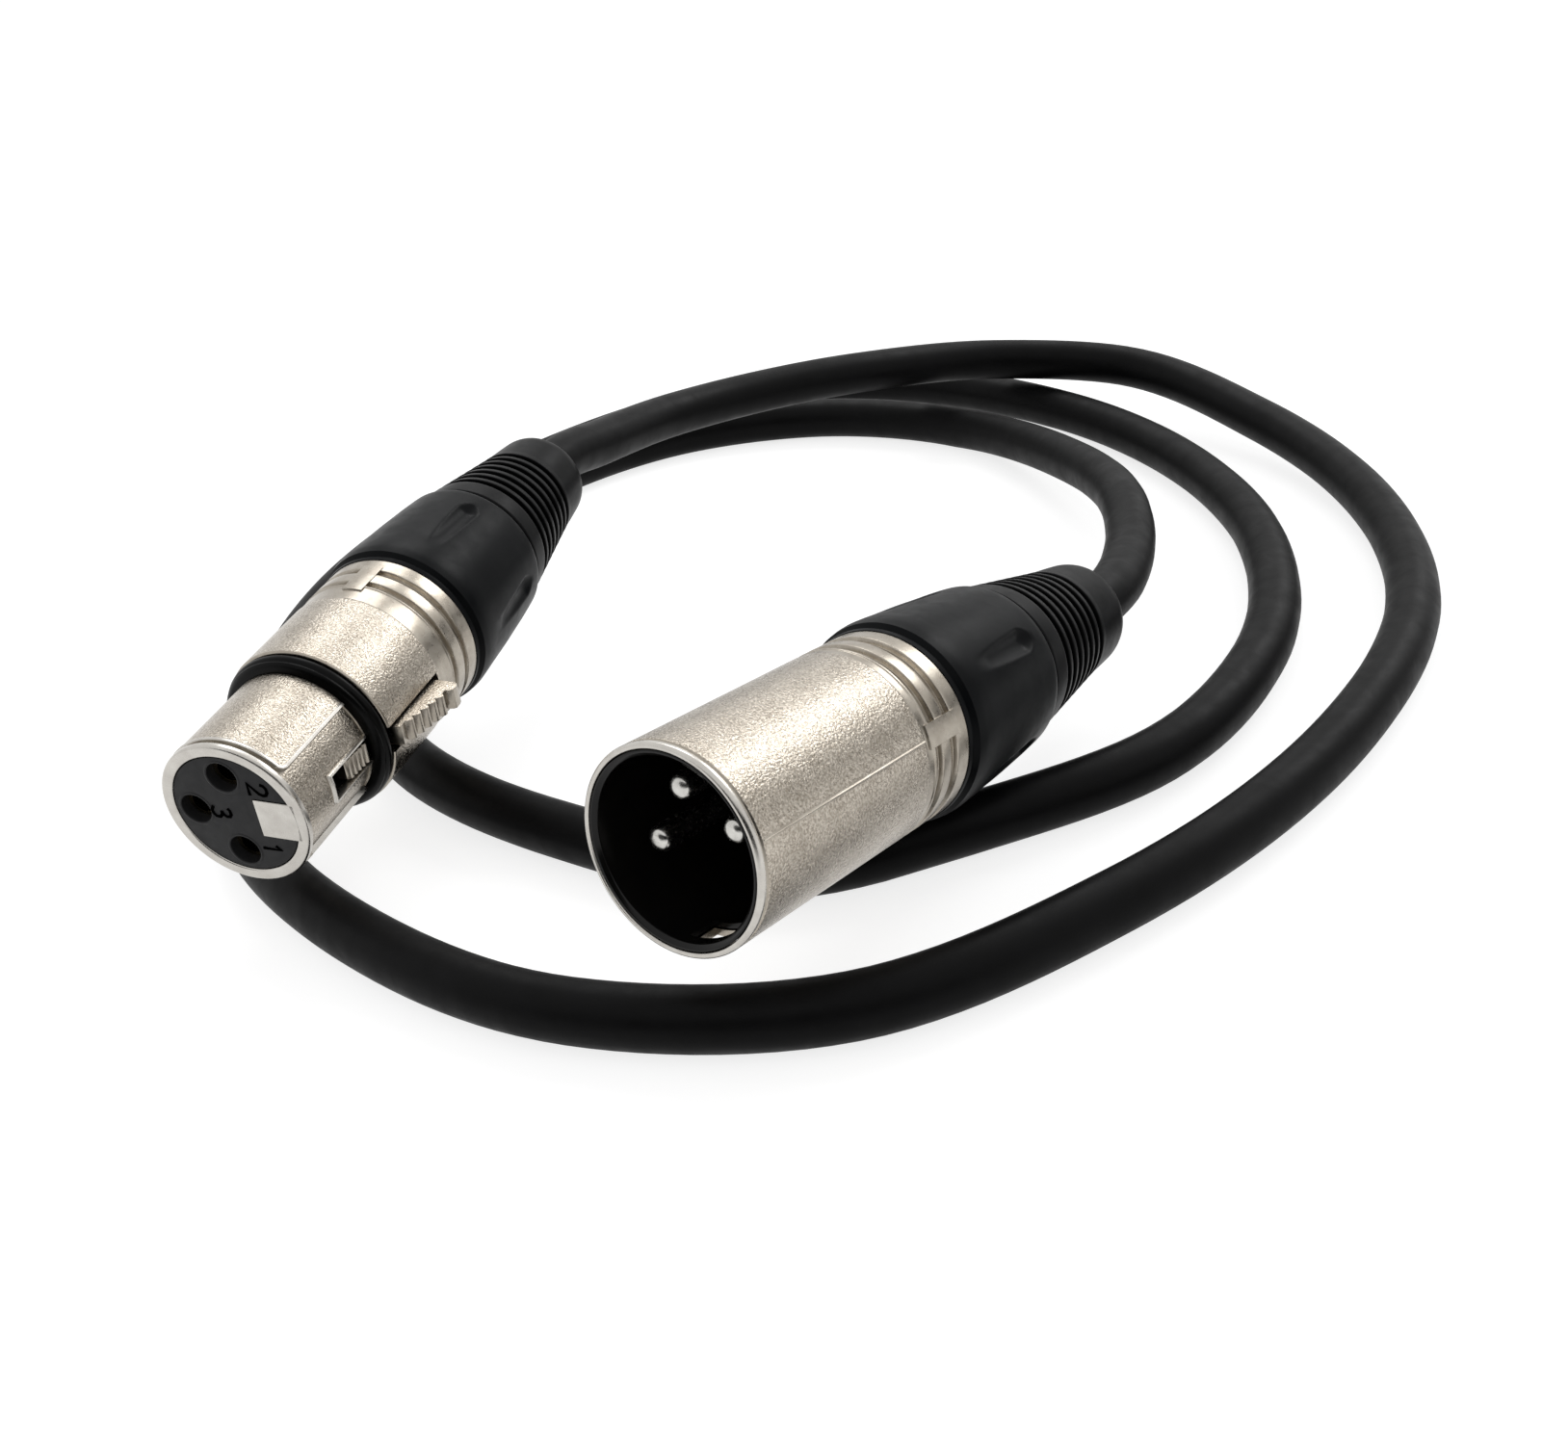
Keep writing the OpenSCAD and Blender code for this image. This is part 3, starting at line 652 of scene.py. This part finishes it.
def shoulder_ring():
    section = rounded([
        (7.68, 12.52), (8.02, 12.52, 0.1), (8.6, 12.64, 0.25), (8.95, 12.95, 0.25),
        (8.9, 13.12, 0.1), (9.15, 13.4, 0.2), (9.2, 13.8, 0.2), (9.05, 14.1, 0.1),
        (7.68, 14.14)])
    piece = turned("shoulder_ring_gasket", section, FEMALE)
    dress(piece, "cord", "ring_black", ["shoulder_ring"], "ring_black", crease=50)


# the digits' lines, as (across, up) points
STROKES = {
    "1": (((-0.42, 0.42), (0, 0.92), (0, -0.95)),),
    "2": (((-0.6, 0.42), (-0.52, 0.72), (-0.25, 0.93), (0.15, 0.95), (0.48, 0.75), (0.56, 0.42),
           (0.42, 0.05), (-0.62, -0.92), (0.66, -0.92)),),
    "3": (((-0.5, 0.72), (-0.25, 0.92), (0.12, 0.94), (0.42, 0.76), (0.45, 0.42), (0.2, 0.12),
           (-0.12, 0.04)),
          ((-0.12, 0.04), (0.28, -0.02), (0.56, -0.3), (0.52, -0.66), (0.22, -0.92),
           (-0.2, -0.95), (-0.58, -0.7))),
}
# digit, distance from the axis and angle of its middle
NUMERALS = (("1", 4.85, 50.4), ("2", 4.87, -44.6), ("3", 1.5, 181))
NUMERAL_SCALE = 1.08
NUMERAL_STROKE_R = 0.22
FACE_L = 0.12


def numerals():
    """The contact numbers, drawn as rounded strokes that stand on the face."""
    lines = []
    for digit, radius, angle in NUMERALS:
        x0 = radius * math.cos(math.radians(angle))
        y0 = radius * math.sin(math.radians(angle))
        for stroke in STROKES[digit]:
            lines.append([((x0 + up * NUMERAL_SCALE) * MM, (y0 + across * NUMERAL_SCALE) * MM,
                           (FACE_L + 0.1) * MM) for across, up in stroke])
    drawn = tubes("female_numerals", NUMERAL_STROKE_R * MM, 3, lines)
    mesh = bpy.data.meshes.new_from_object(drawn)
    bpy.data.objects.remove(drawn)
    mesh.materials.clear()
    piece = shown("female_numerals", mesh)
    piece.matrix_world = FEMALE
    dress(piece, "cord", "insert_black", [], "numeral_black")


def female_insert():
    section = rounded([
        (0.001, FACE_L), (6.63, FACE_L, 0.1), (6.66, 15.62), (8.55, 15.65), (8.55, 19), (6.6, 19),
        (6.6, 26.3, 0.2), (0.001, 26.3)])
    piece = turned("female_insert_block", section, FEMALE, angle_list(160))
    tools = [box("key", (2.52, -2.24, -1), (9, 2.24, 5.1), FEMALE),
             box("channel", (4.2, -1.8, 4.9), (9.5, 1.8, 28), FEMALE)]
    bore = [(0.001, -1), (1.65, -1), (1.65, 28), (0.001, 28)]
    tools += [turned("bore", bore, FEMALE, angle_list(48), centre=on_circle(angle))
              for angle in CONTACT_ANGLES]
    for tool in tools:
        cut(piece, tool)
    ring = rounded([(1.645, 1), (1.64, FACE_L - 0.03, 0.05), (1.8, FACE_L - 0.07, 0.1),
                    (2, FACE_L + 0.02)])
    rims = [turned("rim", ring, FEMALE, angle_list(48), centre=on_circle(angle), closed=False)
            for angle in CONTACT_ANGLES]
    piece = joined("female_insert_block", piece, *rims)
    dress(piece, "cord", "insert_black", ["female_insert"], "insert_black")


RIB_STEPS = 8
RIB_FULLNESS = 0.7


def rib_line(start, end, low, high, count, height):
    """Rounded ribs along a ramp, as (height above the axis, distance) points."""
    points = []
    for k in range(count * RIB_STEPS + 1):
        t = k / (count * RIB_STEPS)
        wave = abs(math.sin(math.pi * t * count)) ** RIB_FULLNESS
        points.append((low + (high - low) * t - height * (1 - wave), start + (end - start) * t))
    return points


PIVOT = (6.6, 28.2)
BUTTON_WIDTH = 2.3
HOOK_WIDTH = 2.2


def standing(name, outline, width, bevel):
    """A plate along the female plug's axis, centred on the key, cut to the outline."""
    corners = [(x, -width / 2, l) for x, l in outline]
    return slab(name, corners, (0, width, 0), bevel, FEMALE)


def latch_lever():
    button = [(6, 14.95), (9.2, 14.95), (10, 15.1)] + rib_line(16, 21.4, 10.4, 11.85, 5, 0.5) + [
        (11.35, 21.45), (11.35, 21.85), (11.95, 22), (12.2, 22.25), (12.2, 22.9), (12.1, 23.3),
        (11.85, 23.55), (11.5, 23.6), (10.2, 23.6), (6, 23.6)]
    hook = [(6, 8.6), (7.1, 8.6)] + rib_line(8.75, 12.1, 7.5, 7.84, 5, 0.3) + [
        (7.2, 12.1), (7.2, PIVOT[1]), (6, PIVOT[1])]
    parts = [standing("button", button, BUTTON_WIDTH, 0.1),
             standing("hook", hook, HOOK_WIDTH, 0.06)]
    eye = rounded([(0.66, -1.1), (1.4, -1.1, 0.1), (1.4, 1.1, 0.1), (0.66, 1.1)])
    across = (FEMALE @ Matrix.Translation((PIVOT[0] * MM, 0, PIVOT[1] * MM))
              @ Matrix.Rotation(math.radians(90), 4, "X"))
    piece = joined("latch_lever_button", *parts, turned("eye", eye, across, angle_list(40)))
    dress(piece, "latch", "latch_metal", ["latch_lever"], "shell_smooth", "shell_sand", crease=35,
          pick=lambda x, y, z, n: int(abs(n.y) > 0.95 and z < 24))


# ---- cable ----

# the middle of the cable from the female plug to the male plug, in mm in the row frame
KNOTS = [(-26.1, 21.1, 20.5), (-16.6, 36.6, 17.7), (11.4, 54.3, 14), (33.4, 62, 10.3),
         (52.3, 56.4, 8), (65.9, 32.9, 5), (70.7, 3, 3.5), (64.9, -26.4, 3.05),
         (47.7, -52.2, 3.05), (19.7, -74, 3.05), (-5.5, -83.3, 3.05), (-30, -77.9, 3.05),
         (-51.9, -59.9, 3.05), (-67.7, -33.9, 3.05), (-70.5, -3, 3.05), (-64.9, 31.3, 3.05),
         (-49.5, 58.9, 3.05), (-24.8, 79.7, 3.05), (-2, 87.6, 3.05), (17.9, 80.6, 3.05),
         (41.5, 55.6, 3.05), (53, 26.5, 3.05), (54.6, -4.5, 3.05), (45.5, -32.5, 3.05),
         (29.8, -50.2, 3.05), (10.6, -57.3, 3.05), (-9.5, -60.6, 3.05), (-32.3, -46.8, 3.05),
         (-51.4, -24, 3.05), (-57.9, 3, 3.05), (-52.8, 33.3, 3.05), (-37.4, 59.4, 3.05),
         (-17.5, 70.1, 3.05), (5.6, 68.4, 3.05), (25.7, 54.1, 3.05), (36.7, 28.9, 5.5),
         (38.9, 1.5, 8.4), (35.8, -13.4, 8.8)]
LOWEST_Z = 3.05
CABLE_D = 0.006
ROUTE_STEP = 0.0022
CABLE_START = 3.7  # the solid cable starts so far behind a shell,
INSIDE_BOOT = 20  # and the jacket so far inside the end of a strain relief
LEAD = 4  # it runs straight out for so far
MALE_LEN = MALE_FRONT + REAR_LEN
FEMALE_LEN = FEMALE_FRONT + REAR_LEN


def along(place, distance):
    """The point of a connector's axis at that distance from the mating face, in metres."""
    return place @ Vector((0, 0, distance * MM))


def cable_route():
    """The same route as the solid cable, as close points in metres."""
    points = [along(FEMALE, FEMALE_FRONT + CABLE_START), along(FEMALE, FEMALE_LEN),
              along(FEMALE, FEMALE_LEN + LEAD)]
    points += [Vector(k) * MM for k in KNOTS]
    points += [along(MALE, MALE_LEN + LEAD), along(MALE, MALE_LEN),
               along(MALE, MALE_FRONT + CABLE_START)]
    last = len(points) - 1

    def slope(k):
        if k == 0:
            return (points[1] - points[0]).normalized()
        if k == last:
            return (points[k] - points[k - 1]).normalized()
        before, after = points[k] - points[k - 1], points[k + 1] - points[k]
        a, b = before.length, after.length
        return (before.normalized() * b + after.normalized() * a) / (a + b)

    route = []
    for k in range(last):
        length = (points[k + 1] - points[k]).length
        a, b = slope(k) * length, slope(k + 1) * length
        steps = max(3, round(length / ROUTE_STEP))
        for step in range(steps):
            t = step / steps
            p = (points[k] * (2 * t ** 3 - 3 * t ** 2 + 1) + a * (t ** 3 - 2 * t ** 2 + t)
                 + points[k + 1] * (3 * t ** 2 - 2 * t ** 3) + b * (t ** 3 - t ** 2))
            p.z = max(p.z, LOWEST_Z * MM)
            route.append(p)
    route.append(points[-1])
    return route


def cable():
    """The jacket, from inside one boot to inside the other."""
    route = cable_route()
    hidden = (REAR_LEN - CABLE_START - INSIDE_BOOT) * MM
    inner = [p for p in route if (p - route[0]).length > hidden and (p - route[-1]).length > hidden]
    line = [along(FEMALE, FEMALE_LEN - INSIDE_BOOT), *inner, along(MALE, MALE_LEN - INSIDE_BOOT)]
    piece = tubes("cable_jacket", CABLE_D / 2, 8, [line])
    piece.data.materials.append(MATERIALS["jacket"])
    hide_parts("cable")
    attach(piece, "cord")
    length = sum((b - a).length for a, b in zip(line, line[1:]))


# ---- all the pieces ----

male_shell()
male_insert()
for number, angle in enumerate(CONTACT_ANGLES, 1):
    male_pin(number, angle)
nut("male_nut_body", MALE, MALE_FRONT, 34.5, "male_clamp", "male_nut")
relief("male_relief_boot", MALE, MALE_FRONT, "male_sleeve", "male_relief")
female_shell()
key_tab()
shoulder_ring()
female_insert()
numerals()
latch_lever()
nut("female_nut_body", FEMALE, FEMALE_FRONT, 4.5, "female_clamp", "female_nut")
relief("female_relief_boot", FEMALE, FEMALE_FRONT, "female_sleeve", "female_relief")
cable()

# the hidden solids keep their own shapes
CARRIED = {
    "wire_blue": ("male_wire_1", "female_wire_1"),
    "wire_red": ("male_wire_2", "female_wire_2"),
    "wire_white": ("male_wire_3", "female_wire_3"),
    "chuck_plastic": ("male_chuck", "female_chuck"),
    # the female contacts take the darkened metal, a painted shade of the deep holes
    "contact_metal": ("female_contact_1", "female_contact_2", "female_contact_3"),
    "spring_steel": ("latch_spring", "latch_pin"),
}
for name, nodes in CARRIED.items():
    for node in nodes:
        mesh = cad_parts[node].data
        mesh.materials.clear()
        mesh.materials.append(MATERIALS[name])

# ---- floor, light and camera ----

WHITE_RAYS = ("Is Camera Ray", "Is Glossy Ray", "Is Transmission Ray")


def white_rays(tree):
    """1 for the rays that show the background: camera, glossy and transmission rays."""
    path = tree.nodes.new("ShaderNodeLightPath")
    value = path.outputs[WHITE_RAYS[0]]
    for name in WHITE_RAYS[1:]:
        step = add_node(tree, "ShaderNodeMath", operation="MAXIMUM")
        tree.links.new(value, step.inputs[0])
        tree.links.new(path.outputs[name], step.inputs[1])
        value = step.outputs[0]
    return value


def flat(name, half, colour, roughness):
    """A level square that isn't part of the object, with a plain finish without gloss."""
    bm = bmesh.new()
    bmesh.ops.create_grid(bm, x_segments=1, y_segments=1, size=half)
    mesh = bpy.data.meshes.new(name)
    bm.to_mesh(mesh)
    bm.free()
    obj = shown(name, mesh)
    material = bpy.data.materials.new(name)
    material.use_nodes = True
    shader = material.node_tree.nodes["Principled BSDF"]
    shader.inputs["Base Color"].default_value = (colour, colour, colour, 1)
    shader.inputs["Roughness"].default_value = roughness
    shader.inputs["Specular IOR Level"].default_value = 0
    mesh.materials.append(material)
    return obj, material.node_tree, shader


FLOOR_COLOUR = 0.45
FLOOR_GLOW = 0.78


def floor():
    """The floor, lifted to white for the rays that show the background."""
    _, tree, shader = flat("floor", 6, FLOOR_COLOUR, 0.9)
    shader.inputs["Emission Color"].default_value = (1, 1, 1, 1)
    glow = add_node(tree, "ShaderNodeMath", operation="MULTIPLY")
    glow.inputs[1].default_value = FLOOR_GLOW
    tree.links.new(white_rays(tree), glow.inputs[0])
    tree.links.new(glow.outputs[0], shader.inputs["Emission Strength"])


WORLD_LIGHT = 0.62
WORLD_WHITE = 1.0


def sky():
    """White to look at, and a plain soft light on the object."""
    world = bpy.data.worlds.new("studio")
    world.use_nodes = True
    tree = world.node_tree
    background = tree.nodes["Background"]
    background.inputs["Color"].default_value = (1, 1, 1, 1)
    tree.links.new(spread(tree, white_rays(tree), WORLD_LIGHT, WORLD_WHITE, 0, 1),
                   background.inputs["Strength"])
    bpy.context.scene.world = world


AIM = Vector((-0.01, -0.02, 0.01))


def facing(obj, azimuth, elevation, distance):
    """Sets obj down at that compass angle, rise and distance from the object, turned to it."""
    az, el = math.radians(azimuth), math.radians(elevation)
    away = Vector((math.cos(el) * math.sin(az), math.cos(el) * math.cos(az), math.sin(el)))
    obj.location = AIM + away * distance
    obj.rotation_euler = away.to_track_quat("Z", "Y").to_euler()


def softbox(name, azimuth, elevation, wide, tall, radiance, distance=1.2):
    """An area lamp seen wide by tall degrees across, with that radiance."""
    lamp = bpy.data.lights.new(name, "AREA")
    lamp.shape = "RECTANGLE"
    lamp.size = 2 * distance * math.tan(math.radians(wide / 2))
    lamp.size_y = 2 * distance * math.tan(math.radians(tall / 2))
    lamp.energy = radiance * math.pi * lamp.size * lamp.size_y
    facing(shown(name, lamp), azimuth, elevation, distance)


def flag(name, azimuth, elevation, wide, tall, distance=0.6):
    """A black card seen wide by tall degrees across, which only reflections see."""
    obj, _, _ = flat(name, 1, 0.01, 1)
    facing(obj, azimuth, elevation, distance)
    obj.scale = (distance * math.tan(math.radians(wide / 2)),
                 distance * math.tan(math.radians(tall / 2)), 1)
    obj.visible_camera = obj.visible_diffuse = obj.visible_shadow = False


PHOTO_WIDTH_PX = 1628
FOCAL_PX = 1827
CAMERA_AT = (-7.5, -202.9, 95.75)
CAMERA_PITCH = 28.24
CAMERA_ROLL = 8.77


def camera():
    """The photograph's camera: looking along +Y, pitched down, then rolled."""
    data = bpy.data.cameras.new("camera")
    data.sensor_width = 36
    data.lens = FOCAL_PX / PHOTO_WIDTH_PX * data.sensor_width
    data.clip_start = 0.01
    data.clip_end = 50
    pitch, roll = math.radians(CAMERA_PITCH), math.radians(CAMERA_ROLL)
    turn = Matrix(((math.cos(roll), math.sin(roll), 0), (-math.sin(roll), math.cos(roll), 0),
                   (0, 0, 1)))
    across, down, ahead = turn @ Matrix(((1, 0, 0), (0, -math.sin(pitch), -math.cos(pitch)),
                                         (0, math.cos(pitch), -math.sin(pitch))))
    obj = shown("camera", data)
    obj.matrix_world = Matrix.Translation(Vector(CAMERA_AT) * MM) @ Matrix(
        (across, -down, -ahead)).transposed().to_4x4()
    bpy.context.scene.camera = obj


floor()
sky()
softbox("lamp_back", 3, 48, 26, 16, 4.3)
softbox("lamp_right", 51, 36, 24, 20, 5.4)
flag("flag_right", 74, 0, 26, 26)
flag("flag_front", 190, 12, 90, 44)
camera()
bpy.context.scene.view_settings.view_transform = "Standard"
